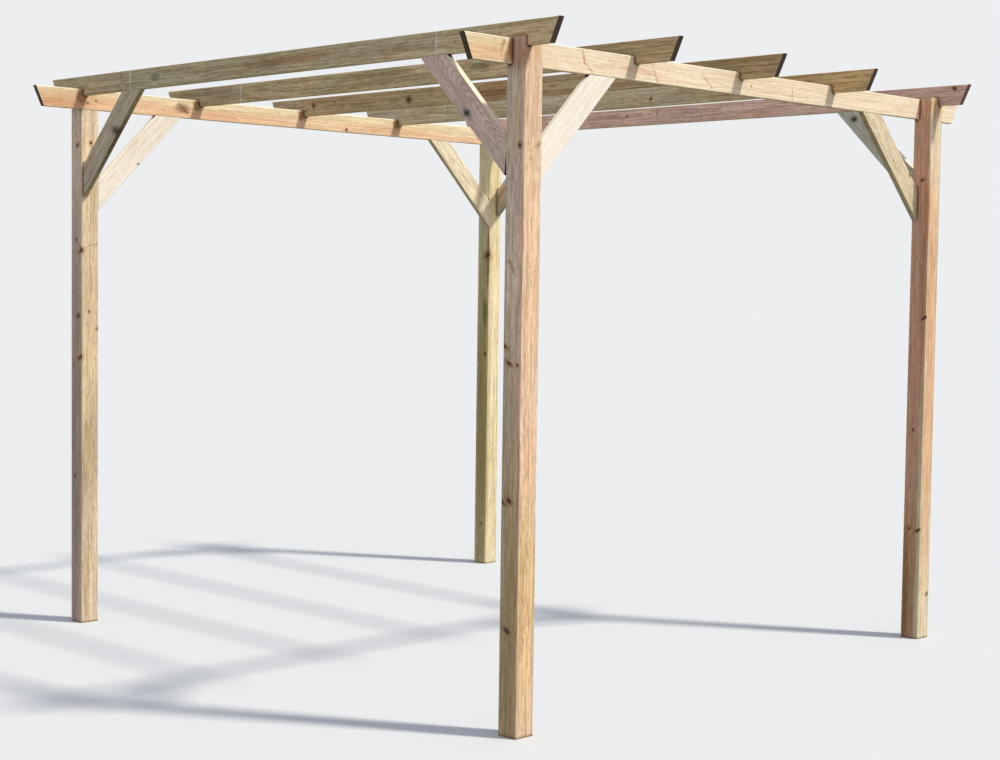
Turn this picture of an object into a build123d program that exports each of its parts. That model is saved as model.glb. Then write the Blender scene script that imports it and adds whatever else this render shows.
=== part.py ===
from build123d import *

import os

# Wooden garden pergola, an open frame of four posts, two beams, five rafters
# and eight knee braces, in millimetres.
# +Z is up and z = 0 is the ground. The beams run along X and the rafters along Y.
# The origin is on the ground, under the middle of the frame.
# Front is -Y, left is -X.

# Posts
post_width = 90
post_height = 2524
post_above_beam = 6
post_spacing_x = 2698
post_spacing_y = 2880

# Beams, planks on edge
beam_thickness = 27
beam_height = 92
beam_overhang = 240
beam_bevel = 42

# Rafters, planks on edge
rafter_count = 5
rafter_thickness = 27
rafter_height = 90
rafter_spacing = 659
rafter_front_overhang = 153
rafter_rear_overhang = 177
rafter_bevel = 42
rafter_seat_depth = 29
rafter_outer_lip = 7

# Knee braces, one under the beam and one under the end rafter at each post
brace_thickness = 27
brace_width = 104
brace_leg = 470

# The foot of the front left rafter brace is cut too steep, so its tip stands off the post by this much
slack_foot_gap = 15

# Joints and edges
notch_clearance = 1.5
eased_edge = 3

# How far a cut runs on past the face that it opens
overcut = 10

# Places that follow from the sizes above
beam_length = post_spacing_x + post_width + 2 * beam_overhang
beam_top = post_height - post_above_beam
beam_underside = beam_top - beam_height
rafter_length = post_spacing_y + post_width + rafter_front_overhang + rafter_rear_overhang
rafter_underside = beam_top - rafter_seat_depth
post_left = -post_spacing_x / 2
post_right = post_spacing_x / 2
post_front = -rafter_length / 2 + rafter_front_overhang + post_width / 2
post_rear = post_front + post_spacing_y

# A beam lies in the inner side of its posts, flush with their inner faces
beam_inset = post_width / 2 - beam_thickness / 2
beam_front = post_front + beam_inset
beam_rear = post_rear - beam_inset

# The end rafters pass through the post tops, just inside the outer faces
rafter_inset = post_width / 2 - rafter_outer_lip - rafter_thickness / 2
rafter_first = post_left - rafter_inset
rafter_last = post_right + rafter_inset
rafter_places = [rafter_first + i * rafter_spacing for i in range(rafter_count - 1)]
rafter_places.append(rafter_last)


def box_between(low, high):
    """A box from its lowest corner to its highest."""
    size = [b - a for a, b in zip(low, high)]
    middle = [(a + b) / 2 for a, b in zip(low, high)]
    return Pos(*middle) * Box(*size)


def eased_bar(low, high, axis):
    """A planed bar with its four long edges rounded."""
    bar = box_between(low, high)
    return fillet(bar.edges().filter_by(axis), eased_edge)


def post(x, y, beam_y, rafter_x):
    """A post with a rebate for the beam and a slot for the end rafter in its top."""
    half = post_width / 2
    past = half + overcut
    body = eased_bar((x - half, y - half, 0), (x + half, y + half, post_height), Axis.Z)
    inner_side = 1 if beam_y > y else -1
    near, far = sorted((beam_y - inner_side * beam_thickness / 2, y + inner_side * past))
    body -= box_between((x - past, near, beam_underside), (x + past, far, post_height + overcut))
    slot_half = rafter_thickness / 2 + notch_clearance
    body -= box_between((rafter_x - slot_half, y - past, rafter_underside),
                        (rafter_x + slot_half, y + past, post_height + overcut))
    return body


def bevelled_plank(length, thickness, height, bevel):
    """A plank on edge along X, standing on z = 0, whose ends are cut so that its top edge is the longer."""
    half = length / 2
    plank = eased_bar((-half, -thickness / 2, 0), (half, thickness / 2, height), Axis.X)
    outline = Polyline((half - bevel, 0), (half + bevel, 0), (half + bevel, height), (half, height), close=True)
    wedge = extrude(make_face(Plane.XZ * outline), thickness, both=True)
    return plank - wedge - mirror(wedge, Plane.YZ)


def beam(y):
    """A beam with bevelled ends and a notch in its top edge under each rafter."""
    plank = bevelled_plank(beam_length, beam_thickness, beam_height, beam_bevel)
    notch_half = rafter_thickness / 2 + notch_clearance
    past = beam_thickness / 2 + overcut
    for x in rafter_places:
        plank -= box_between((x - notch_half, -past, beam_height - rafter_seat_depth),
                             (x + notch_half, past, beam_height + overcut))
    return Pos(0, y, beam_underside) * plank


def rafter(x):
    """A rafter with bevelled ends, straight along its underside."""
    plank = bevelled_plank(rafter_length, rafter_thickness, rafter_height, rafter_bevel)
    return Pos(x, 0, rafter_underside) * Rot(0, 0, 90) * plank


def brace_blank(foot_gap=0):
    """A knee brace at 45 degrees in the XZ plane, mitred to seat on a post face at x = 0
    and on an underside at z = 0. A foot gap opens its lower seat from the top down to the tip."""
    seat = brace_width * 2 ** 0.5
    outline = Polyline((foot_gap, foot_gap - brace_leg), (0, seat - brace_leg), (brace_leg - seat, 0),
                       (brace_leg, 0), close=True)
    bar = extrude(make_face(Plane.XZ * outline), brace_thickness / 2, both=True)
    long_edges = bar.edges().filter_by(lambda edge: abs(edge.tangent_at(0.5).Z) > 0.5
                                       and abs(edge.tangent_at(0.5).X) > 0.5)
    return fillet(long_edges, eased_edge)


def beam_brace(post_x, beam_y):
    """The brace between a post's side and the underside of the beam."""
    inward = 1 if post_x == post_left else -1
    blank = brace_blank() if inward > 0 else mirror(brace_blank(), Plane.YZ)
    return Pos(post_x + inward * post_width / 2, beam_y, beam_underside) * blank


def rafter_brace(rafter_x, post_y, foot_gap):
    """The brace between a post's inner face and the underside of the end rafter."""
    inward = 1 if post_y == post_front else -1
    turned = Rot(0, 0, 90 * inward) * brace_blank(foot_gap)
    return Pos(rafter_x, post_y + inward * post_width / 2, rafter_underside) * turned


pieces = {}
for side, post_x, rafter_x in (("left", post_left, rafter_first), ("right", post_right, rafter_last)):
    for end, post_y, beam_y in (("front", post_front, beam_front), ("rear", post_rear, beam_rear)):
        corner = f"{end}_{side}"
        pieces[f"{corner}_post"] = post(post_x, post_y, beam_y, rafter_x)
        pieces[f"{corner}_beam_brace"] = beam_brace(post_x, beam_y)
        foot_gap = slack_foot_gap if corner == "front_left" else 0
        pieces[f"{corner}_rafter_brace"] = rafter_brace(rafter_x, post_y, foot_gap)
pieces["front_beam"] = beam(beam_front)
pieces["rear_beam"] = beam(beam_rear)
for number, x in enumerate(rafter_places, 1):
    pieces[f"rafter_{number}"] = rafter(x)

os.makedirs("parts", exist_ok=True)
for name, piece in pieces.items():
    export_step(piece, f"parts/{name}.step")
print(f"beam {beam_length} mm, rafter {rafter_length} mm, top of the rafters {rafter_underside + rafter_height} mm")
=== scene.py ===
from math import cos, radians, sin, sqrt

import bpy
from mathutils import Matrix, Vector


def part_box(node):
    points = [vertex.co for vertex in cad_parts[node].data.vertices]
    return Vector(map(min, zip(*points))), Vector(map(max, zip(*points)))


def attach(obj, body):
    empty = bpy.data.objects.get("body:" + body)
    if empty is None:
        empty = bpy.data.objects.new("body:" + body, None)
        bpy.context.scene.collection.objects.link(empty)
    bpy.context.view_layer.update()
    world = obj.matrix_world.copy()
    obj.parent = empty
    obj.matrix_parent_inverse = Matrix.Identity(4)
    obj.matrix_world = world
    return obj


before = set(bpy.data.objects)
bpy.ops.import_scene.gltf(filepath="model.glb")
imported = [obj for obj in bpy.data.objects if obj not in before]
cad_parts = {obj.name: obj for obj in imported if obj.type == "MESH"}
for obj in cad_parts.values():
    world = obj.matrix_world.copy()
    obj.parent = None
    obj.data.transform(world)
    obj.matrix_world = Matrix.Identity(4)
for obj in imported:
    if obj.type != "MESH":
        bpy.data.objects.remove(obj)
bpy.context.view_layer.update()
millimetre = 0.001
print("frame loaded:", len(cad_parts), "timbers")


# an sRGB hex colour as the linear colour that a shader takes
def linearColour(hexCode):
    parts = [int(hexCode[i:i + 2], 16) / 255 for i in (1, 3, 5)]
    return [c / 12.92 if c <= 0.04045 else ((c + 0.055) / 1.055) ** 2.4 for c in parts] + [1.0]


# Adds a node with its settings and gives back the chosen output. The kind is a shader node's, unless it says
# Node itself. An input takes a value, a hex colour or another node's output.
def addNode(tree, kind, inputs=(), out=0, **settings):
    node = tree.nodes.new(kind if "Node" in kind else "ShaderNode" + kind)
    for name, value in settings.items():
        setattr(node, name, value)
    for socket, value in dict(inputs).items():
        if isinstance(value, bpy.types.NodeSocket):
            tree.links.new(value, node.inputs[socket])
        elif isinstance(value, str) and value.startswith("#"):
            node.inputs[socket].default_value = linearColour(value)
        else:
            node.inputs[socket].default_value = value
    return node.outputs[out] if node.outputs else node


# an empty node group with its sockets' names listed by type, and the outputs that bring its inputs in
def newGroup(name, inputs, outputs, kind="ShaderNodeTree"):
    group = bpy.data.node_groups.new(name, kind)
    for direction, sockets in (("INPUT", inputs), ("OUTPUT", outputs)):
        for socketType, labels in sockets.items():
            for label in labels:
                group.interface.new_socket(label, in_out=direction, socket_type="NodeSocket" + socketType)
    return group, group.nodes.new("NodeGroupInput").outputs


# a material and its empty node tree
def newMaterial(name):
    material = bpy.data.materials.new(name)
    material.use_nodes = True
    material.node_tree.nodes.clear()
    return material, material.node_tree


# How a trunk's pith strays: a drift over about a metre, and a wave of the fibres over about 200 mm.
# Each is its turns per metre along, across and through, and the input that holds its width.
pithWaves = (((0.9, 0, 0), "Wander"), ((5, 26, 26), "Wobble"))


# Grain space: a point measured from the pith, and how far out from it the point lies.
# The pith slants through the timber and wanders as a real trunk's does, which draws the pointed arches
# on a flat-sawn face.
def buildGrainSpace():
    group, given = newGroup(
        "grainSpace", {"Vector": ("Position", "Pith", "Slant"), "Float": ("Seed", "Wander", "Wobble")},
        {"Vector": ("Position",), "Float": ("Radius",)})
    along = addNode(group, "SeparateXYZ", {0: given["Position"]})
    slanted = addNode(group, "VectorMath", {0: given["Slant"], "Scale": along}, operation="SCALE")
    slanted = addNode(group, "VectorMath", {0: slanted, 1: given["Pith"]}, operation="ADD")
    place = addNode(group, "VectorMath", {0: given["Position"], 1: slanted}, operation="SUBTRACT")
    for turns, width in pithWaves:
        slow = addNode(group, "VectorMath", {0: given["Position"], 1: turns}, operation="MULTIPLY")
        drift = addNode(group, "TexNoise", {
            "Vector": slow, "W": given["Seed"], "Detail": 2.0, "Scale": 1.0},
            out="Color", noise_dimensions="4D")
        drift = addNode(group, "VectorMath", {0: drift, 1: (0.5, 0.5, 0.5)}, operation="SUBTRACT")
        drift = addNode(group, "VectorMath", {0: drift, "Scale": given[width]}, operation="SCALE")
        place = addNode(group, "VectorMath", {0: drift, 1: (2, 2, 2), 2: place}, operation="MULTIPLY_ADD")
    across = addNode(group, "VectorMath", {0: place, 1: (0, 1, 1)}, operation="MULTIPLY")
    radius = addNode(group, "VectorMath", {0: across}, out="Value", operation="LENGTH")
    addNode(group, "NodeGroupOutput", {"Position": place, "Radius": radius})
    return group


# Branches, in millimetres. thinnest is a branch's width at the pith as a share of its size, climb is how far
# it rises for each millimetre that it goes out, fallOff is how soon the rings run straight again beside it,
# and farAway stands for no branch at all.
branchLook = dict(thinnest=0.4, fullSizeAt=40, climb=0.5, reach=1000, fallOff=0.12, farAway=9.0)


# A branch that grew out from the pith. Where a face cuts it across, a round knot shows, and where the
# face runs beside it, a long spike. Near is 1 at its bark, and Pull is how far it bends the rings.
def buildBranch():
    group, given = newGroup(
        "branch", {"Vector": ("Position", "Root", "Heading"), "Float": ("Length", "Size")},
        {"Float": ("Near", "Pull")})
    fromRoot = addNode(group, "VectorMath", {0: given["Position"], 1: given["Root"]}, operation="SUBTRACT")
    run = addNode(group, "VectorMath", {0: fromRoot, 1: given["Heading"]}, out="Value",
                  operation="DOT_PRODUCT")
    run = addNode(group, "Clamp", {"Value": run, "Min": 0.0, "Max": given["Length"]})
    core = addNode(group, "VectorMath", {0: given["Heading"], "Scale": run}, operation="SCALE")
    gap = addNode(group, "VectorMath", {0: fromRoot, 1: core}, out="Value", operation="DISTANCE")
    thick = addNode(group, "MapRange", {
        "Value": run, "From Max": branchLook["fullSizeAt"] * millimetre, "To Min": branchLook["thinnest"],
        "To Max": 1.0})
    thick = addNode(group, "Math", {0: thick, 1: given["Size"]}, operation="MULTIPLY")
    near = addNode(group, "Math", {0: gap, 1: thick}, operation="DIVIDE")
    pull = addNode(group, "Math", {0: near, 1: near}, operation="MULTIPLY")
    pull = addNode(group, "Math", {0: pull, 1: -branchLook["fallOff"]}, operation="MULTIPLY")
    pull = addNode(group, "Math", {0: pull}, operation="EXPONENT")
    pull = addNode(group, "Math", {0: pull, 1: thick}, operation="MULTIPLY")
    addNode(group, "NodeGroupOutput", {"Near": near, "Pull": pull})
    return group


# What all the timbers share, with sizes in millimetres
pineLook = dict(
    # noises far longer than wide, as (length, width), and where three of them start to show and show in full
    patterns=dict(edge=(700, 60), patch=(420, 40), drift=(260, 55), band=(900, 9), streak=(380, 9),
                  fibre=(60, 4.8), fleck=(24, 5.5)),
    shows=dict(patch=(0.38, 0.62), drift=(0.36, 0.64), fleck=(0.54, 0.66)),
    # the part of a ring over which it darkens, how strongly branches bend the rings, and the heartwood's edge
    lateWood=(0.3, 0.9), ringPull=1.2, heartUneven=50, saltsInHeart=0.2,
    # how much of the way from pale to dark a ring, a band of years and the fine grain each take
    ringDepth=0.7, bandDepth=1.4, grainDepth=2.8, pale=(1.26, 1.31, 1.38), dark=(0.71, 0.63, 0.54),
    greyed="#e0ebf6", spike="#bd966e", knotMiddle="#4e3324", knotRim="#26170f",
    # a branch's tones run from one distance to another, in its own sizes, and from one strength to another
    branchTones=dict(halo=("Near", 1.0, 3.4, 0.75, 0.0), spike=("Spike", 0.3, 2.3, 0.68, 0.0),
                     inside=("Near", 0.9, 1.25, 1.0, 0.0), rim=("Near", 0.1, 0.7, 0.0, 1.0)),
    roughness=(0.56, 0.76), knotPolish=0.14, relief=dict(fibre=0.6, fleck=-1.0, knot=0.8))


# Scots pine, planed and pressure treated: sapwood takes the greenish salts, the redder heartwood doesn't.
# The grain is drawn a little coarser than it is, so that it still shows from some metres away.
def buildPine():
    group, given = newGroup("treatedPine", {
        "Vector": ("Position",), "Color": ("Sapwood", "Heartwood", "Salts", "Halo", "Fleck"),
        "Float": ("Radius", "Near", "Spike", "Pull", "Seed", "Heart Radius", "Heart Taper", "Heart Fade",
                  "Ring Width", "Figure", "Streaks", "Flecks", "Green", "Drift")},
        {"Color": ("Colour",), "Float": ("Roughness", "Height", "Fibre")})
    pattern = {}
    for name, (length, width) in pineLook["patterns"].items():
        scale = (1 / (length * millimetre), 1 / (width * millimetre), 1 / (width * millimetre))
        stretched = addNode(group, "VectorMath", {0: given["Position"], 1: scale}, operation="MULTIPLY")
        # each noise has a seed of its own, which follows from its length
        shifted = addNode(group, "Math", {0: given["Seed"], 1: length / 100}, operation="ADD")
        pattern[name] = addNode(group, "TexNoise", {
            "Vector": stretched, "W": shifted, "Detail": 2.0, "Scale": 1.0}, noise_dimensions="4D")
    # pale early wood turns to dark late wood, then stops short at the winter
    ringed = addNode(group, "Math", {0: given["Pull"], 1: pineLook["ringPull"], 2: given["Radius"]},
                     operation="MULTIPLY_ADD")
    rings = addNode(group, "Math", {0: ringed, 1: given["Ring Width"]}, operation="DIVIDE")
    rings = addNode(group, "Math", {0: rings}, operation="FRACT")
    paleUntil, darkFrom = pineLook["lateWood"]
    rings = addNode(group, "MapRange", {
        "Value": rings, "From Min": paleUntil, "From Max": darkFrom}, interpolation_type="SMOOTHSTEP")
    # heartwood out to its own uneven edge, which tapers along the trunk
    uneven = pineLook["heartUneven"] * millimetre
    along = addNode(group, "SeparateXYZ", {0: given["Position"]})
    edge = addNode(group, "Math", {0: along, 1: given["Heart Taper"], 2: given["Heart Radius"]},
                   operation="MULTIPLY_ADD")
    edge = addNode(group, "Math", {0: pattern["edge"], 1: -uneven, 2: edge}, operation="MULTIPLY_ADD")
    edge = addNode(group, "Math", {0: edge, 1: ringed}, operation="SUBTRACT")
    edge = addNode(group, "Math", {0: edge, 1: uneven / 2}, operation="ADD")
    edge = addNode(group, "Math", {0: edge, 1: given["Heart Fade"]}, operation="DIVIDE")
    heart = addNode(group, "MapRange", {"Value": edge, "From Min": -0.5, "From Max": 0.5},
                    interpolation_type="SMOOTHSTEP")
    colour = addNode(group, "Mix", {0: heart, 6: given["Sapwood"], 7: given["Heartwood"]}, out=2,
                     data_type="RGBA")
    # how much shows of the salts' patches, of a slow drift to greyer wood and of short flecks of torn grain
    shown = {}
    for name, amount in (("patch", "Green"), ("drift", "Drift"), ("fleck", "Flecks")):
        start, full = pineLook["shows"][name]
        share = addNode(group, "MapRange", {"Value": pattern[name], "From Min": start, "From Max": full})
        shown[name] = addNode(group, "Math", {0: share, 1: given[amount]}, operation="MULTIPLY")
    takesSalts = addNode(group, "MapRange", {
        "Value": heart, "To Min": 1.0, "To Max": pineLook["saltsInHeart"]})
    salted = addNode(group, "Math", {0: shown["patch"], 1: takesSalts}, operation="MULTIPLY")
    for share, tone in ((salted, given["Salts"]), (shown["drift"], pineLook["greyed"])):
        colour = addNode(group, "Mix", {0: share, 6: colour, 7: tone}, out=2, data_type="RGBA",
                         blend_type="MULTIPLY")
    # rings, bands of good and poor years, streaks and fibres share one scale from pale to deep
    ringDepth, bandDepth = pineLook["ringDepth"], pineLook["bandDepth"]
    deep = addNode(group, "Math", {0: rings, 1: ringDepth, 2: -ringDepth / 2}, operation="MULTIPLY_ADD")
    deep = addNode(group, "Math", {0: pattern["band"], 1: bandDepth, 2: deep}, operation="MULTIPLY_ADD")
    deep = addNode(group, "Math", {0: deep, 1: bandDepth / 2}, operation="SUBTRACT")
    deep = addNode(group, "Math", {0: deep, 1: given["Figure"], 2: 0.5}, operation="MULTIPLY_ADD")
    grain = addNode(group, "Math", {0: pattern["streak"], 1: pattern["fibre"]}, operation="ADD")
    grain = addNode(group, "Math", {0: grain, 1: 1.0}, operation="SUBTRACT")
    grain = addNode(group, "Math", {0: grain, 1: given["Streaks"]}, operation="MULTIPLY")
    deep = addNode(group, "Math", {0: grain, 1: pineLook["grainDepth"], 2: deep},
                   operation="MULTIPLY_ADD", use_clamp=True)
    pale = addNode(group, "VectorMath", {0: colour, 1: pineLook["pale"]}, operation="MULTIPLY")
    dark = addNode(group, "VectorMath", {0: colour, 1: pineLook["dark"]}, operation="MULTIPLY")
    colour = addNode(group, "Mix", {0: deep, 6: pale, 7: dark}, out=2, data_type="RGBA")
    # stained wood round a knot, a dark bark line and a brown middle in it, and the golden brown of a spike
    tones = {}
    for name, (branchKind, start, end, first, last) in pineLook["branchTones"].items():
        tones[name] = addNode(group, "MapRange", {
            "Value": given[branchKind], "From Min": start, "From Max": end, "To Min": first, "To Max": last},
            interpolation_type="SMOOTHSTEP")
    knot = addNode(group, "Mix", {
        0: tones["rim"], 6: pineLook["knotMiddle"], 7: pineLook["knotRim"]}, out=2, data_type="RGBA")
    for share, tone, blend in (
            (shown["fleck"], given["Fleck"], "MIX"), (tones["halo"], given["Halo"], "MULTIPLY"),
            (tones["spike"], pineLook["spike"], "MULTIPLY"), (tones["inside"], knot, "MIX")):
        colour = addNode(group, "Mix", {0: share, 6: colour, 7: tone}, out=2, data_type="RGBA",
                         blend_type=blend)
    smoothest, roughest = pineLook["roughness"]
    rough = addNode(group, "MapRange", {"Value": pattern["fibre"], "To Min": smoothest, "To Max": roughest})
    rough = addNode(group, "Math", {0: tones["inside"], 1: -pineLook["knotPolish"], 2: rough},
                    operation="MULTIPLY_ADD")
    height = rings
    for share, name in ((pattern["fibre"], "fibre"), (shown["fleck"], "fleck"), (tones["inside"], "knot")):
        height = addNode(group, "Math", {0: share, 1: pineLook["relief"][name], 2: height},
                         operation="MULTIPLY_ADD")
    addNode(group, "NodeGroupOutput", {"Colour": colour, "Roughness": rough, "Height": height,
                                       "Fibre": pattern["fibre"]})
    return group


# Wear and painted light and shade, with sizes in millimetres. A ramp says where it starts, where it is at its
# most, and how much that is:
# sloping and flat go by how far a face looks up, and sawn and endEdge by how far it looks along the grain.
wearAndShadeLook = dict(
    bevel=4, seam=14, washedOut=0.75, bleachedAndSunlit="#efe4c6", greyed="#aca594", endDark="#54443a",
    paleArrisAndHighlight="#fffaee", seamDirtAndShade="#5e3726",
    ramps=dict(sloping=(0.45, 0.7, 0.6), flat=(0.8, 0.97, 0.8), sawn=(0.45, 0.62, 1.0), eased=(0.1, 0.4, 1.0),
               cut=(0.99, 0.85, 1.0), endEdge=(0.12, 0.4, 0.7), seam=(0.92, 0.5, 0.95)))


# What handling, weather and painted light do to a timber: pale arrises, partly rubbed and partly a painted
# highlight, dark sawn ends, partly painted shade, and dirt and painted shade in the joints
def buildWearAndShade():
    group, given = newGroup("timberWearAndShade", {
        "Vector": ("Normal", "Along", "Across", "Through"), "Color": ("Colour", "End Tone", "End Arris"),
        "Float": ("Fibre", "Arris")}, {"Color": ("Colour",)})
    rounded = addNode(group, "Bevel", {"Radius": wearAndShadeLook["bevel"] * millimetre}, samples=4)
    facing = {}
    for name, normal, axis in (("along", given["Normal"], "Along"), ("across", given["Normal"], "Across"),
                               ("through", given["Normal"], "Through"), ("roundedAlong", rounded, "Along")):
        facing[name] = addNode(group, "VectorMath", {0: normal, 1: given[axis]}, out="Value",
                               operation="DOT_PRODUCT")
        facing[name] = addNode(group, "Math", {0: facing[name]}, operation="ABSOLUTE")
    upward = addNode(group, "SeparateXYZ", {0: given["Normal"]}, out="Z")
    between = addNode(group, "Math", {0: facing["across"], 1: facing["through"]}, operation="MULTIPLY")
    plain = addNode(group, "NewGeometry", out="Normal")
    turned = addNode(group, "VectorMath", {0: rounded, 1: plain}, out="Value", operation="DOT_PRODUCT")
    # the ambient occlusion finds closed-in seams, which are darkened with brown dirt and painted shade
    openness = addNode(group, "AmbientOcclusion", {"Distance": wearAndShadeLook["seam"] * millimetre},
                       out="AO", samples=6)
    source = dict(sloping=upward, flat=upward, sawn=facing["along"], eased=between, cut=turned,
                  endEdge=facing["roundedAlong"], seam=openness)
    wearAndShade = {}
    for name, (start, end, most) in wearAndShadeLook["ramps"].items():
        wearAndShade[name] = addNode(group, "MapRange", {
            "Value": source[name], "From Min": start, "From Max": end, "To Max": most})
    # sawn end grain soaks up salts and dirt and is darkened further as painted shade, and the rain washes it
    # out again on a post's top
    washed = addNode(group, "Math", {0: wearAndShade["flat"], 1: -wearAndShadeLook["washedOut"], 2: 1.0},
                     operation="MULTIPLY_ADD")
    endDarkening = addNode(group, "Math", {0: wearAndShade["sawn"], 1: washed}, operation="MULTIPLY")
    endTone = addNode(group, "Mix", {
        0: given["Fibre"], 6: given["End Tone"], 7: wearAndShadeLook["endDark"]}, out=2, data_type="RGBA")
    # arrises: the eased long edges, and the cut edges that a rounding would touch, lightened partly as rubbed
    # wear and partly as a painted highlight
    notSawn = addNode(group, "Math", {0: 1.0, 1: wearAndShade["sawn"]}, operation="SUBTRACT")
    arris = addNode(group, "Math", {0: wearAndShade["eased"], 1: wearAndShade["cut"]}, operation="MAXIMUM")
    arris = addNode(group, "Math", {0: arris, 1: notSawn}, operation="MULTIPLY")
    arris = addNode(group, "Math", {0: arris, 1: given["Arris"]}, operation="MULTIPLY")
    # a tone on the rounded edges round a sawn end: pale by default, and dark on posts and rafters, where it
    # is partly painted shade
    endEdge = addNode(group, "Math", {0: wearAndShade["endEdge"], 1: notSawn}, operation="MULTIPLY")
    # what slopes upward turns cream, partly bleached and partly a painted sunlit highlight, what lies flat
    # goes on to grey, partly weathered and partly painted shade that holds the lit tops down, and brown dirt
    # and painted shade lie in the seams
    colour = given["Colour"]
    for share, tone, blend in (
            (wearAndShade["sloping"], wearAndShadeLook["bleachedAndSunlit"], "MIX"), (wearAndShade["flat"], wearAndShadeLook["greyed"], "MIX"),
            (endDarkening, endTone, "MULTIPLY"), (arris, wearAndShadeLook["paleArrisAndHighlight"], "SOFT_LIGHT"),
            (endEdge, given["End Arris"], "MIX"), (wearAndShade["seam"], wearAndShadeLook["seamDirtAndShade"], "MULTIPLY")):
        colour = addNode(group, "Mix", {0: share, 6: colour, 7: tone}, out=2, data_type="RGBA",
                         blend_type=blend)
    addNode(group, "NodeGroupOutput", {"Colour": colour})
    return group


grainSpace = buildGrainSpace()
branch = buildBranch()
treatedPine = buildPine()
timberWearAndShade = buildWearAndShade()
print("wood groups built")

# What a timber has unless its own look says otherwise, in millimetres, with slant and taper per metre.
# pith is where the trunk's middle runs, heart is how far out the heartwood goes, and fade is its soft edge.
# endTone darkens the sawn ends, partly as painted shade.
usualTimber = dict(
    slant=(0, 0), wander=10, wobble=5, ring=6, taper=0, fade=8, drift=0.5, halo="#c59468", fleck="#a07c54",
    arris=0.6, endTone="#2f2119", endArris="#efe0c4", knots=(), spikes=(), stainsAndShade=(), sticks=())

# Marks, with sizes in millimetres: how far the outlines of knots, and of spikes and stains, stray on a
# pattern of about 9 mm, how much of a stain is its full tone, and the pale band that a stacking stick leaves
markLook = dict(outlineScale=110.0, knotOutline=6, spikeOutline=16, stainCore=0.4, stickTone="#e6e8e2",
                stickEdge=3, stickMost=0.8, stickLeast=0.25, stickBreaks=(0.44, 0.54))

# Bare wood: the IOR of its fibres, and a soft broad gloss where it was planed; the relief is in millimetres
woodSurface = dict(ior=1.55, gloss=0.35, relief=0.6, reliefStrength=0.35)


# How near the nearest knot and spike are, and how far all the branches pull the rings.
# Knots are (along, across, through, size) where they break the surface; spikes are (low end, high end, size).
def growBranches(tree, look, pith, slant, uneven):
    branches = []
    for along, across, through, size in look["knots"]:
        tip = Vector((along, across, through)) * millimetre
        pithHere = pith + slant * tip.x
        outward = Vector((0, tip.y, tip.z)) - pithHere
        root = Vector((tip.x - branchLook["climb"] * outward.length, *pithHere.yz))
        branches.append(("Near", root, tip - root, branchLook["reach"] * millimetre, size))
    for low, high, size in look["spikes"]:
        root, tip = Vector(low) * millimetre, Vector(high) * millimetre
        branches.append(("Spike", root, tip - root, (tip - root).length, size))
    reached = {"Near": branchLook["farAway"], "Spike": branchLook["farAway"], "Pull": 0.0}
    for kind, root, heading, length, size in branches:
        grown = addNode(tree, "Group", {
            "Position": uneven[kind], "Root": root, "Heading": heading.normalized(), "Length": length,
            "Size": size * millimetre}, node_tree=branch).node.outputs
        reached[kind] = addNode(tree, "Math", {0: grown["Near"], 1: reached[kind]}, operation="MINIMUM")
        reached["Pull"] = addNode(tree, "Math", {0: grown["Pull"], 1: reached["Pull"]}, operation="ADD")
    return reached


# Stains are (along, across, through, half length, half width, tone), and some of them are painted shade or a
# painted shadow instead of a stain.
# One that is centred outside a face, with a wide half width, tints that whole face and no other.
def addStainsAndShade(tree, colour, look, uneven):
    for along, across, through, halfLength, halfWidth, tone in look["stainsAndShade"]:
        centre = Vector((along, across, through)) * millimetre
        scale = [1 / (half * millimetre) for half in (halfLength, halfWidth, halfWidth)]
        gap = addNode(tree, "VectorMath", {0: uneven["Spike"], 1: centre}, operation="SUBTRACT")
        gap = addNode(tree, "VectorMath", {0: gap, 1: scale}, operation="MULTIPLY")
        gap = addNode(tree, "VectorMath", {0: gap}, out="Value", operation="LENGTH")
        share = addNode(tree, "MapRange", {
            "Value": gap, "From Min": markLook["stainCore"], "From Max": 1.0, "To Min": 1.0, "To Max": 0.0},
            interpolation_type="SMOOTHSTEP")
        colour = addNode(tree, "Mix", {0: share, 6: colour, 7: tone}, out=2, data_type="RGBA",
                         blend_type="MULTIPLY")
    return colour


# Sticks are (along, half width): broken pale bands where a stacking stick kept the salts off
def addSticks(tree, colour, look, uneven, blotches):
    for place, half in look["sticks"]:
        along = addNode(tree, "SeparateXYZ", {0: uneven["Near"]})
        gap = addNode(tree, "Math", {0: along, 1: place * millimetre}, operation="SUBTRACT")
        gap = addNode(tree, "Math", {0: gap}, operation="ABSOLUTE")
        outer = half + markLook["stickEdge"]
        band = addNode(tree, "MapRange", {
            "Value": gap, "From Min": half * millimetre, "From Max": outer * millimetre,
            "To Min": markLook["stickMost"], "To Max": 0.0})
        broken, whole = markLook["stickBreaks"]
        breaks = addNode(tree, "MapRange", {
            "Value": blotches, "From Min": broken, "From Max": whole, "To Min": markLook["stickLeast"],
            "To Max": 1.0})
        band = addNode(tree, "Math", {0: band, 1: breaks}, operation="MULTIPLY")
        colour = addNode(tree, "Mix", {0: band, 6: colour, 7: markLook["stickTone"]}, out=2,
                         data_type="RGBA")
    return colour


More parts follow.
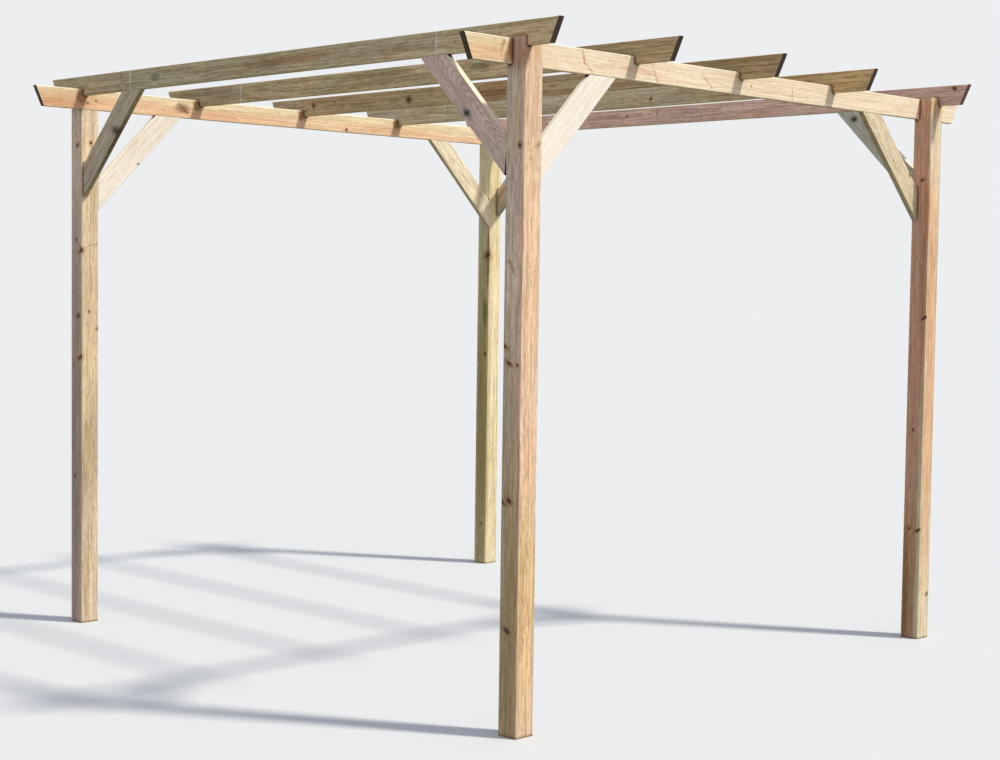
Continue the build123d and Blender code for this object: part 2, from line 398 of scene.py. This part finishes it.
# One timber's own material: where its pith runs, its knots and its tones.
# axes are the timber's own axes, along the grain first, and start is the middle of its lower, left or front
# end. A look's places are in millimetres from there: along, across and through.
def timberMaterial(name, start, axes, look):
    material, tree = newMaterial("treatedPine_" + name)
    pith = Vector((0, *look["pith"])) * millimetre
    slant = Vector((0, *look["slant"])) * millimetre
    here = addNode(tree, "TexCoord", out="Object")
    local = addNode(tree, "Mapping", {
        "Vector": here, "Location": start, "Rotation": Matrix(axes).transposed().to_euler()},
        vector_type="TEXTURE")
    space = addNode(tree, "Group", {
        "Position": local, "Pith": pith, "Slant": slant, "Seed": look["seed"],
        "Wander": look["wander"] * millimetre, "Wobble": look["wobble"] * millimetre},
        node_tree=grainSpace).node.outputs
    # knots, spikes and stains keep their places, but their outlines are uneven
    ragged = addNode(tree, "TexNoise", {
        "Vector": local, "Scale": markLook["outlineScale"], "Detail": 1.0}, out="Color")
    blotches = ragged.node.outputs[0]
    ragged = addNode(tree, "VectorMath", {0: ragged, 1: (0.5, 0.5, 0.5)}, operation="SUBTRACT")
    uneven = {}
    for kind, stray in (("Near", markLook["knotOutline"]), ("Spike", markLook["spikeOutline"])):
        uneven[kind] = addNode(tree, "VectorMath", {
            0: ragged, 1: [stray * millimetre] * 3, 2: local}, operation="MULTIPLY_ADD")
    # the colours' seed is another than the shape's, so that the two don't run together
    pine = addNode(tree, "Group", {
        "Position": space["Position"], "Radius": space["Radius"], "Seed": look["seed"] + 3.1,
        "Heart Radius": look["heart"] * millimetre, "Heart Taper": look["taper"] * millimetre,
        "Heart Fade": look["fade"] * millimetre, "Ring Width": look["ring"] * millimetre,
        **growBranches(tree, look, pith, slant, uneven),
        **{label: look[label.lower()] for label in (
            "Sapwood", "Heartwood", "Salts", "Halo", "Fleck", "Figure", "Streaks", "Flecks", "Green",
            "Drift")}}, node_tree=treatedPine).node.outputs
    colour = addStainsAndShade(tree, pine["Colour"], look, uneven)
    colour = addSticks(tree, colour, look, uneven, blotches)
    wearAndShade = addNode(tree, "Group", {
        "Colour": colour, "Normal": here.node.outputs["Normal"], "Along": axes[0], "Across": axes[1],
        "Through": axes[2], "Fibre": pine["Fibre"], "Arris": look["arris"], "End Tone": look["endTone"],
        "End Arris": look["endArris"]}, node_tree=timberWearAndShade)
    relief = addNode(tree, "Bump", {
        "Height": pine["Height"], "Strength": woodSurface["reliefStrength"],
        "Distance": woodSurface["relief"] * millimetre})
    surface = addNode(tree, "BsdfPrincipled", {
        "Base Color": wearAndShade, "Roughness": pine["Roughness"], "Normal": relief, "IOR": woodSurface["ior"],
        "Specular IOR Level": woodSurface["gloss"]})
    addNode(tree, "OutputMaterial", {"Surface": surface})
    return material


def dress(name, start, axes, look):
    material = timberMaterial(name, start, axes, {**usualTimber, **look})
    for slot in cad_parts[name].material_slots:
        slot.material = material


# dresses the timbers that lie along X, Y or Z, with the look that all of them share
def dressStraight(looks, shared, axes):
    grain = axes[0].index(1)
    for name, look in looks.items():
        low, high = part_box(name)
        start = (low + high) / 2
        start[grain] = low[grain]
        dress(name, start, axes, {**shared, **look})


# from the middle of a post and of a plank to its face, in millimetres
postFace = 45
plankFace = 13.5

# Posts, 90 mm square, sawn with the pith inside, so that knots come in whorls on all four sides
postLooks = {
    "front_left_post": dict(
        seed=11, pith=(-12, -41), heart=48, sapwood="#e9d2b6", heartwood="#edcaaf", salts="#d9dacc",
        green=0.3, figure=0.22, streaks=0.65, flecks=0.35, arris=0.25,
        knots=((2137, -postFace, -24, 6), (1422, -postFace, 42, 5), (1359, -postFace, 14, 5),
               (1354, -postFace, -26, 4), (857, -postFace, 43, 5), (864, -postFace, 6, 6),
               (390, -postFace, 9, 6), (2130, postFace, 10, 6), (1345, 20, postFace, 6),
               (395, -10, postFace, 6)),
        spikes=(((1676, -postFace, -10), (1726, -postFace, 21), 5),
                ((2124, -6, -postFace), (2150, -24, -postFace), 2.5),
                ((2124, -4, -postFace), (2152, 44, -postFace), 4),
                ((1673, -15, -postFace), (1694, -postFace, -postFace), 2),
                ((1673, -15, -postFace), (1695, 23, -postFace), 2),
                ((1341, -23, -postFace), (1359, -postFace, -postFace), 2),
                ((1341, -23, -postFace), (1358, 5, -postFace), 2),
                ((386, -postFace, -postFace), (420, 15, -postFace), 2)),
        # the stain centred at across -75, low down, is painted shade on the left face towards the ground
        stainsAndShade=((1300, -postFace, 40, 1400, 9, "#e4ebee"), (500, 0, -postFace, 700, 60, "#fffee0"),
                (2480, -postFace, 0, 110, 80, "#d8c4c0"), (200, -75, 0, 1700, 80, "#d4ccaa"),
                (1900, 0, -75, 1300, 80, "#fffff0"))),
    "front_right_post": dict(
        seed=23, pith=(-28, 12), heart=38, taper=8, sapwood="#eaddbd", heartwood="#daa98a", salts="#e2d8c4",
        green=0.3, figure=0.4, streaks=0.5, flecks=0.35, arris=0.8, endArris="#6a4430",
        knots=((2144, -postFace, -4, 6), (1509, -postFace, -40, 5), (982, -postFace, 8, 6),
               (518, -postFace, 15, 6), (514, -postFace, -35, 5), (207, 28, -postFace, 5),
               (2140, postFace, 10, 5), (1500, 10, postFace, 5), (990, postFace, -20, 5)),
        # the stain centred at across -75 is painted shade on the lower left face
        stainsAndShade=((1250, 0, -75, 1600, 80, "#fdd9c8"), (2480, 0, -postFace, 70, 60, "#ecd8b8"),
                (250, -postFace, 30, 420, 24, "#cfc4a4"), (100, -75, 0, 900, 80, "#e4e6d2"),
                (1650, -62, -32, 1200, 32, "#efd2c4"))),
    "rear_left_post": dict(
        seed=37, pith=(-20, 20), heart=35, sapwood="#e4ccaf", heartwood="#dcbead", salts="#e0dcc6",
        green=0.25, figure=0.45, streaks=0.5, flecks=0.4,
        knots=((2258, -postFace, -7, 6), (1818, -postFace, 4, 5), (1770, -postFace, -postFace, 7),
               (1459, -postFace, -15, 6), (1265, -postFace, -33, 6), (2272, 4, -postFace, 5),
               (1479, -7, -postFace, 3), (1401, 44, -postFace, 5), (1450, postFace, 12, 5),
               (700, -postFace, 10, 5)),
        spikes=(((1818, -postFace, 4), (1770, -postFace, -postFace), 3),
                ((1778, -40, -postFace), (1803, 43, -postFace), 2)),
        # the stain centred at across -75 is painted shade on the lower left face
        stainsAndShade=((900, -75, 0, 1500, 80, "#cecaca"), (1300, 0, -75, 1900, 80, "#fffff0"))),
    "rear_right_post": dict(
        seed=41, pith=(10, 20), heart=30, sapwood="#f6e4b8", heartwood="#e6c99c", salts="#d6d6a8",
        green=0.35, figure=0.4, streaks=0.5, flecks=0.3,
        knots=((1795, -postFace, -34, 12), (1224, -postFace, -25, 5), (233, -postFace, -10, 4),
               (1790, postFace, 10, 6), (1230, 10, postFace, 6)),
        # the stain centred at across -75 is painted shade over most of the left face
        stainsAndShade=((2075, 33, -postFace, 40, 20, "#b08a60"), (850, -75, 0, 1700, 80, "#b8b088"),
                (1780, -postFace, -38, 270, 14, "#a09070"), (1464, -postFace, -20, 110, 30, "#b4c09a"))),
}
# the posts' sawn ends and the rounded edges round them are dark, partly as painted shade
everyPost = dict(endTone="#54392b", endArris="#4f3529")
dressStraight(postLooks, everyPost, ((0, 0, 1), (1, 0, 0), (0, 1, 0)))

# Beams, 27 by 92 mm on edge, flat sawn, so that branches run out to their faces as long spikes
beamLooks = {
    "front_beam": dict(
        seed=53, pith=(34, -8), slant=(6, 0), heart=50, wander=12, sapwood="#f3e2c5", heartwood="#f2d0b0",
        salts="#f2ecd8", green=0.15, figure=0.22, streaks=0.25, flecks=0.2,
        knots=((1644, -plankFace, -5, 2.5),),
        spikes=(((179, -plankFace, -22), (194, -plankFace, 33), 5),
                ((610, -plankFace, 38), (622, -plankFace, -4), 6),
                ((622, -plankFace, -4), (672, -plankFace, -40), 3),
                ((1006, -plankFace, 30), (1046, -plankFace, -38), 3),
                ((1310, -plankFace, 20), (1386, -plankFace, -34), 3),
                ((1931, -plankFace, 30), (1934, -plankFace, -41), 3),
                ((2797, -plankFace, -6), (2812, -plankFace, 22), 2.5)),
        # the stain at 238 is a painted shadow of the end rafter on the beam beside the post
        stainsAndShade=((120, -plankFace, 0, 260, 60, "#f3efde"), (238, -plankFace, 14, 28, 70, "#c8aa90"))),
    "rear_beam": dict(
        seed=59, pith=(30, -34), slant=(4, 0), heart=58, fade=48, wander=8, sapwood="#f4e2bd",
        heartwood="#efbe96", salts="#f2ecd2", green=0.2, figure=0.25, streaks=0.35, flecks=0.25,
        knots=((1856, -plankFace, -33, 6), (2884, -plankFace, -38, 3)),
        spikes=(((780, -plankFace, 24), (833, -plankFace, -20), 7),),
        # the stains at 238, 894, 1553 and 2212 are painted shade beside the rafters' notches
        stainsAndShade=((806, -plankFace, 2, 60, 34, "#b9b0a0"), (120, -plankFace, 0, 360, 60, "#ece2d6"),
                (273, -plankFace, -16, 9, 9, "#b89a7c"), (317, -plankFace, -3, 9, 9, "#b89a7c"),
                (238, -plankFace, 14, 40, 52, "#cbb5a2"), (894, -plankFace, 24, 36, 44, "#bca08c"),
                (1553, -plankFace, 24, 36, 44, "#bca08c"), (2212, -plankFace, 24, 36, 44, "#bca08c"))),
}
everyBeam = dict(drift=0.15, arris=1.0)
dressStraight(beamLooks, everyBeam, ((1, 0, 0), (0, 1, 0), (0, 0, 1)))

# Rafters, 27 by 90 mm on edge, the greenest timbers but for the last one
rafterLooks = {
    "rafter_1": dict(
        seed=61, pith=(-12, 36), heart=20, sapwood="#e1c698", heartwood="#e1ba8c", salts="#ccd0b0",
        green=0.45, figure=0.5, streaks=0.8, flecks=0.5, fleck="#a39068", drift=0.6,
        knots=((640, 6, -plankFace, 2), (522, -4, -plankFace, 2)), sticks=((2644, 3), (622, 3)),
        stainsAndShade=((2447, 0, -plankFace, 55, 24, "#b8cbbd"), (1500, 4, -plankFace, 380, 22, "#ecd8c4"),
                (2400, 0, -plankFace, 2100, 200, "#e6eaea"))),
    "rafter_2": dict(
        seed=67, pith=(20, 40), heart=18, sapwood="#d8be90", heartwood="#d0aa7e", salts="#c8ccaa",
        green=0.4, figure=0.6, streaks=0.85, flecks=0.5, fleck="#998460", drift=0.6, sticks=((2695, 3),),
        stainsAndShade=((2950, 0, -plankFace, 380, 70, "#d8dcde"), (250, 0, -plankFace, 420, 90, "#e8e2dc"),
                (1065, 8, -plankFace, 80, 20, "#c8ccc2"))),
    "rafter_3": dict(
        seed=71, pith=(-8, 34), heart=34, sapwood="#cbad80", heartwood="#c4986a", salts="#c6c8a0",
        green=0.35, figure=0.6, streaks=0.85, flecks=0.45, fleck="#8a7050",
        knots=((2954, 5, -plankFace, 8), (2224, -6, -plankFace, 10), (2782, 14, -plankFace, 3),
               (1737, 16, -plankFace, 3)),
        stainsAndShade=((300, 0, -plankFace, 600, 90, "#f0eee8"), (1640, 0, -plankFace, 150, 60, "#ecd4c4"))),
    "rafter_4": dict(
        seed=73, pith=(16, 38), heart=16, sapwood="#e0cba2", heartwood="#d6b184", salts="#ccd2b0",
        green=0.4, figure=0.55, streaks=0.8, flecks=0.45, fleck="#a08c62", drift=0.6, sticks=((2662, 3),),
        knots=((1240, -10, -plankFace, 5),), stainsAndShade=((300, 0, -plankFace, 900, 90, "#f4e0c2"),)),
    "rafter_5": dict(
        seed=79, pith=(6, 30), heart=90, sapwood="#ecc9ae", heartwood="#efc7b0", salts="#dcd2c4",
        green=0.25, figure=0.5, streaks=0.7, flecks=0.4, endTone="#806a60",
        knots=((70, 30, -plankFace, 6), (2050, 8, -plankFace, 4)),
        stainsAndShade=((300, 0, -plankFace, 700, 90, "#ebe7e4"),),
        spikes=(((1842, -30, -plankFace), (1842, 20, -plankFace), 2.5),
                ((1540, -30, -plankFace), (1544, 20, -plankFace), 2.5))),
}
# the rafters' rounded end edges are dark, partly as painted shade
everyRafter = dict(wander=16, endArris="#4a382c")
dressStraight(rafterLooks, everyRafter, ((0, 1, 0), (0, 0, 1), (1, 0, 0)))

# Knee braces, 27 by 104 mm, mitred at 45 degrees, each cut from another plank.
# Across is a brace's thickness, and through runs from the middle of its width up towards the joint above.
braceWidth = 104
braceLooks = {
    "front_left_beam_brace": dict(
        seed=83, pith=(-34, 10), heart=8, sapwood="#f7f1e6", heartwood="#f4e6d4", salts="#f6f0e4",
        green=0.1, figure=0.11, streaks=0.18, flecks=0.1, drift=0.1),
    "front_left_rafter_brace": dict(
        seed=89, pith=(-36, 20), slant=(-95, 10), ring=3.4, heart=150, sapwood="#e4cab8",
        heartwood="#e4c6b2", salts="#ccd2cc", green=0.3, figure=0.6, streaks=0.4, flecks=0.2,
        halo="#8fa09c", knots=((326, plankFace, -27, 7),),
        stainsAndShade=((326, plankFace, -27, 50, 16, "#c0cac8"),)),
    "front_right_beam_brace": dict(
        seed=97, pith=(-36, -14), slant=(-30, 0), heart=10, sapwood="#e1ceae", heartwood="#dcbf98",
        salts="#d8d8b8", green=0.3, figure=0.4, streaks=0.5, flecks=0.7, fleck="#ece6d4",
        knots=((180, -plankFace, 20, 5),)),
    "front_right_rafter_brace": dict(
        seed=101, pith=(-38, 12), heart=10, sapwood="#e2ddcc", heartwood="#d6c2a6", salts="#c6d2cc",
        green=0.55, figure=0.4, streaks=0.5, flecks=0.3, halo="#5f7f78", knots=((552, -plankFace, 3, 8),),
        stainsAndShade=((556, -plankFace, 24, 40, 26, "#a8d4c4"),)),
    "rear_left_beam_brace": dict(
        seed=103, pith=(34, 14), slant=(30, 0), ring=4, heart=6, sapwood="#f8f0e2", heartwood="#f6e2cd",
        salts="#f4ece0", green=0.15, figure=0.2, streaks=0.35, flecks=0.1, drift=0.15,
        knots=((300, plankFace, -18, 3),)),
    "rear_left_rafter_brace": dict(
        seed=107, pith=(-34, 20), slant=(-30, 0), heart=26, sapwood="#d2c0a4", heartwood="#c6a686",
        salts="#bfc4ae", green=0.45, figure=0.45, streaks=0.7, flecks=0.3, halo="#8a7052",
        # the stain along its lower edge is painted shade on the underside
        knots=((407, -plankFace, -46, 10),), stainsAndShade=((330, 0, -62, 360, 20, "#9a8a6c"),)),
    "rear_right_beam_brace": dict(
        seed=109, pith=(-30, -12), slant=(-40, 0), heart=14, sapwood="#f8e8c8", heartwood="#f0d6b0",
        salts="#e4e2c8", green=0.25, figure=0.4, streaks=0.45, flecks=0.3),
    "rear_right_rafter_brace": dict(
        seed=113, pith=(-32, 16), heart=20, sapwood="#d8c9ab", heartwood="#ceb18e", salts="#c4c8aa",
        green=0.4, figure=0.5, streaks=0.5, flecks=0.3, knots=((200, -plankFace, 10, 5),)),
}


# where a brace lies: the tip of its foot, the way it rises, the way its upper edge faces, and the length
# of its lower edge
def bracePlace(name):
    low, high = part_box(name)
    middle = (low + high) / 2
    inward = Vector((-middle.x, 0, 0)) if "beam" in name else Vector((0, -middle.y, 0))
    inward.normalize()
    leg = abs((high - low).dot(inward))
    foot = Vector((middle.x, middle.y, high.z - leg)) - inward * leg / 2
    return foot, (inward + Vector((0, 0, 1))) / sqrt(2), (Vector((0, 0, 1)) - inward) / sqrt(2), leg * sqrt(2)


for name, look in braceLooks.items():
    foot, rise, outward, _ = bracePlace(name)
    start = foot + outward * braceWidth / 2 * millimetre
    dress(name, start, (rise, outward.cross(rise), outward), look)
print("timbers dressed:", len(postLooks) + len(beamLooks) + len(rafterLooks) + len(braceLooks))

# Wood screws with countersunk heads, in millimetres. taper is a head's width below as a share of that above,
# and beamPairs are the two on a beam at each post: how far towards the middle of the frame, and how far up.
screwLook = dict(headWidth=9, headDepth=3, proud=0.4, taper=0.6, recessWidth=4.8, recessDepth=1.6, lobes=6,
                 lobeDepth=0.14, sides=24, bare="#8d8577", dulled="#6a5a48", blotchWidth=2.5,
                 blotchShows=(0.4, 0.6), roughness=(0.38, 0.62), fromBraceTip=60,
                 beamPairs=((-12, -16), (32, -3)))


# Zinc-plated steel dulled by weather: grey, half matt, with brownish blotches.
# The blotches are a good deal coarser than they are, so that they show on a head this small.
def buildZinc():
    material, tree = newMaterial("weatheredZinc")
    here = addNode(tree, "TexCoord", out="Object")
    blotch = addNode(tree, "TexNoise", {
        "Vector": here, "Scale": 1000 / screwLook["blotchWidth"], "Detail": 2.0})
    least, most = screwLook["blotchShows"]
    blotch = addNode(tree, "MapRange", {"Value": blotch, "From Min": least, "From Max": most})
    colour = addNode(tree, "Mix", {0: blotch, 6: screwLook["bare"], 7: screwLook["dulled"]}, out=2,
                     data_type="RGBA")
    smoothest, roughest = screwLook["roughness"]
    rough = addNode(tree, "MapRange", {"Value": blotch, "To Min": smoothest, "To Max": roughest})
    surface = addNode(tree, "BsdfPrincipled", {"Base Color": colour, "Roughness": rough, "Metallic": 1.0})
    addNode(tree, "OutputMaterial", {"Surface": surface})
    return material


# One head at each point, turned to face along the point's own "facing"
def buildScrewHeads():
    group, given = newGroup("screwHeads", {
        "Geometry": ("Places",), "Int": ("Sides", "Lobes"), "Material": ("Material",),
        "Float": ("Head Width", "Head Depth", "Taper", "Recess Width", "Recess Depth", "Lobe Depth")},
        {"Geometry": ("Screws",)}, "GeometryNodeTree")
    radius = addNode(group, "Math", {0: given["Head Width"], 1: 0.5}, operation="MULTIPLY")
    blank = addNode(group, "GeometryNodeMeshCylinder", {
        "Vertices": given["Sides"], "Radius": radius, "Depth": given["Head Depth"]},
        fill_type="NGON").node.outputs
    head = addNode(group, "GeometryNodeScaleElements", {
        "Geometry": blank["Mesh"], "Selection": blank["Bottom"], "Scale": given["Taper"]})
    # the top face shrinks to a lobed outline, which sinks in as the driver's recess
    inner = addNode(group, "GeometryNodeExtrudeMesh", {
        "Mesh": head, "Selection": blank["Top"], "Offset Scale": 0.0, "Individual": False}).node.outputs
    share = addNode(group, "Math", {0: given["Recess Width"], 1: given["Head Width"]}, operation="DIVIDE")
    head = addNode(group, "GeometryNodeScaleElements", {
        "Geometry": inner["Mesh"], "Selection": inner["Top"], "Scale": share})
    place = addNode(group, "GeometryNodeInputPosition")
    split = addNode(group, "SeparateXYZ", {0: place}).node.outputs
    lobes = addNode(group, "Math", {0: split["Y"], 1: split["X"]}, operation="ARCTAN2")
    lobes = addNode(group, "Math", {0: lobes, 1: given["Lobes"]}, operation="MULTIPLY")
    lobes = addNode(group, "Math", {0: lobes}, operation="COSINE")
    lobes = addNode(group, "Math", {0: lobes, 1: given["Lobe Depth"], 2: 1.0}, operation="MULTIPLY_ADD")
    lobes = addNode(group, "CombineXYZ", {"X": lobes, "Y": lobes, "Z": 1.0})
    lobed = addNode(group, "VectorMath", {0: place, 1: lobes}, operation="MULTIPLY")
    head = addNode(group, "GeometryNodeSetPosition", {
        "Geometry": head, "Selection": inner["Top"], "Position": lobed})
    sunk = addNode(group, "Math", {0: given["Recess Depth"], 1: -1.0}, operation="MULTIPLY")
    head = addNode(group, "GeometryNodeExtrudeMesh", {
        "Mesh": head, "Selection": inner["Top"], "Offset Scale": sunk, "Individual": False})
    facing = addNode(group, "GeometryNodeInputNamedAttribute", {"Name": "facing"}, data_type="FLOAT_VECTOR")
    turn = addNode(group, "FunctionNodeAlignRotationToVector", {"Vector": facing}, axis="Z")
    heads = addNode(group, "GeometryNodeInstanceOnPoints", {
        "Points": given["Places"], "Instance": head, "Rotation": turn})
    heads = addNode(group, "GeometryNodeRealizeInstances", {"Geometry": heads})
    heads = addNode(group, "GeometryNodeSetMaterial", {"Geometry": heads, "Material": given["Material"]})
    addNode(group, "NodeGroupOutput", {"Screws": heads})
    return group


# where the screws go, as (point on the wood, direction that the head faces)
def screwPlaces():
    places = []
    for end, inward in (("front", 1), ("rear", -1)):
        low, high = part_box(end + "_beam")
        face = high.y if inward > 0 else low.y
        for side, towardsMiddle in (("left", 1), ("right", -1)):
            postLow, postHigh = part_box(f"{end}_{side}_post")
            for across, raised in screwLook["beamPairs"]:
                x = ((postLow + postHigh) / 2).x + towardsMiddle * across * millimetre
                z = (low.z + high.z) / 2 + raised * millimetre
                places.append((Vector((x, face, z)), Vector((0, inward, 0))))
        for name in rafterLooks:
            rafterLow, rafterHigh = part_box(name)
            point = Vector(((rafterLow.x + rafterHigh.x) / 2, (low.y + high.y) / 2, rafterHigh.z))
            places.append((point, Vector((0, 0, 1))))
    fromTip = screwLook["fromBraceTip"] * millimetre
    for name in braceLooks:
        foot, rise, outward, edge = bracePlace(name)
        for along in (fromTip, edge - fromTip):
            places.append((foot + rise * along, -outward))
    return places


screwSpots = screwPlaces()
sink = (screwLook["proud"] - screwLook["headDepth"] / 2) * millimetre
spotMesh = bpy.data.meshes.new("screwSpots")
spotMesh.from_pydata([point + facing * sink for point, facing in screwSpots], [], [])
facings = spotMesh.attributes.new("facing", "FLOAT_VECTOR", "POINT")
for spot, (point, facing) in zip(facings.data, screwSpots):
    spot.vector = facing
screws = bpy.data.objects.new("screws", spotMesh)
bpy.context.scene.collection.objects.link(screws)
screwHeads = buildScrewHeads()
screwSizes = {
    "Head Width": screwLook["headWidth"] * millimetre, "Head Depth": screwLook["headDepth"] * millimetre,
    "Taper": screwLook["taper"], "Recess Width": screwLook["recessWidth"] * millimetre,
    "Recess Depth": screwLook["recessDepth"] * millimetre, "Lobes": screwLook["lobes"],
    "Lobe Depth": screwLook["lobeDepth"], "Sides": screwLook["sides"], "Material": buildZinc()}
growth = screws.modifiers.new("screwHeads", "NODES")
growth.node_group = screwHeads
for socket in screwHeads.interface.items_tree:
    if socket.name in screwSizes:
        growth[socket.identifier] = screwSizes[socket.name]
screwMesh = bpy.data.meshes.new_from_object(screws.evaluated_get(bpy.context.evaluated_depsgraph_get()))
screws.modifiers.clear()
screws.data = screwMesh
screwMesh.name = "screws"
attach(screws, "root")
print("screws set:", len(screwSpots), "in", len(screwMesh.polygons), "faces")


# 1 where the camera or a reflection looks at the floor or the backdrop, and 0 where they light the timbers
def addSeen(tree):
    path = addNode(tree, "LightPath").node.outputs
    return addNode(tree, "Math", {0: path["Is Camera Ray"], 1: path["Is Glossy Ray"]}, operation="MAXIMUM")


# Floor: plain and pale where it is seen, and darker and warmer in the light that it throws back
floorLook = dict(size=120, seen="#c8cbcb", bounced="#545430", roughness=0.95)
floorMesh = bpy.data.meshes.new("floor")
reach = floorLook["size"] / 2
floorMesh.from_pydata([(-reach, -reach, 0), (reach, -reach, 0), (reach, reach, 0), (-reach, reach, 0)], [],
                      [(0, 1, 2, 3)])
floor = bpy.data.objects.new("floor", floorMesh)
bpy.context.scene.collection.objects.link(floor)
floorMaterial, tree = newMaterial("studioFloor")
colour = addNode(tree, "Mix", {
    0: addSeen(tree), 6: floorLook["bounced"], 7: floorLook["seen"]}, out=2, data_type="RGBA")
matt = addNode(tree, "BsdfPrincipled", {
    "Base Color": colour, "Roughness": floorLook["roughness"], "Specular IOR Level": 0.0})
addNode(tree, "OutputMaterial", {"Surface": matt})
floorMesh.materials.append(floorMaterial)

# Light: a soft key from the right and in front, high up, a very broad warm one from the front that opens the
# shadows, and a cool fill all round, brightest near the horizon. Softness is a lamp's angle in degrees.
lightLook = dict(
    lamps=dict(key=dict(towards=(0.37, -0.62, 1.0), strength=3.4, softness=5, colour="#fffaee"),
               front=dict(towards=(-0.2, -1.0, 0.3), strength=0.65, softness=120, colour="#ffe2c0")),
    fill="#d8e0f8", fillLow=1.12, fillHigh=0.50, backdrop="#eceef0")
for name, look in lightLook["lamps"].items():
    lamp = bpy.data.lights.new(name, "SUN")
    lamp.energy = look["strength"]
    lamp.angle = radians(look["softness"])
    lamp.color = linearColour(look["colour"])[:3]
    lampObject = bpy.data.objects.new(name, lamp)
    lampObject.rotation_euler = Vector(look["towards"]).to_track_quat("Z", "Y").to_euler()
    bpy.context.scene.collection.objects.link(lampObject)

world = bpy.data.worlds.new("studio")
bpy.context.scene.world = world
world.use_nodes = True
tree = world.node_tree
tree.nodes.clear()
upward = addNode(tree, "TexCoord", out="Generated")
upward = addNode(tree, "SeparateXYZ", {0: upward}, out="Z")
strength = addNode(tree, "MapRange", {
    "Value": upward, "To Min": lightLook["fillLow"], "To Max": lightLook["fillHigh"]})
fill = addNode(tree, "Background", {"Color": lightLook["fill"], "Strength": strength})
backdrop = addNode(tree, "Background", {"Color": lightLook["backdrop"], "Strength": 1.0})
both = addNode(tree, "MixShader", {0: addSeen(tree), 1: fill, 2: backdrop})
addNode(tree, "OutputWorld", {"Surface": both})
print("floor and light set")

# Camera: at eye level off the front left corner, looking almost level across the frame.
# Its place and its reach are in metres, its angles in degrees, its lens and sensor in millimetres.
cameraLook = dict(place=(-5.943, -5.899, 1.668), turn=-45.27, tilt=-3.31, roll=0.80, lens=63.93, sensor=36,
                  reach=500)
turn, tilt, roll = (radians(cameraLook[k]) for k in ("turn", "tilt", "roll"))
forward = Vector((-sin(turn) * cos(tilt), cos(turn) * cos(tilt), sin(tilt)))
right = Vector((cos(turn), sin(turn), 0))
up = right.cross(forward)
rolledRight = cos(roll) * right + sin(roll) * up
rolledUp = cos(roll) * up - sin(roll) * right
camera = bpy.data.cameras.new("camera")
camera.lens = cameraLook["lens"]
camera.sensor_width = cameraLook["sensor"]
camera.clip_end = cameraLook["reach"]
cameraObject = bpy.data.objects.new("camera", camera)
cameraObject.matrix_world = Matrix.Translation(cameraLook["place"]) @ Matrix(
    (rolledRight, rolledUp, -forward)).transposed().to_4x4()
bpy.context.scene.collection.objects.link(cameraObject)
bpy.context.scene.camera = cameraObject
bpy.context.scene.view_settings.view_transform = "Standard"
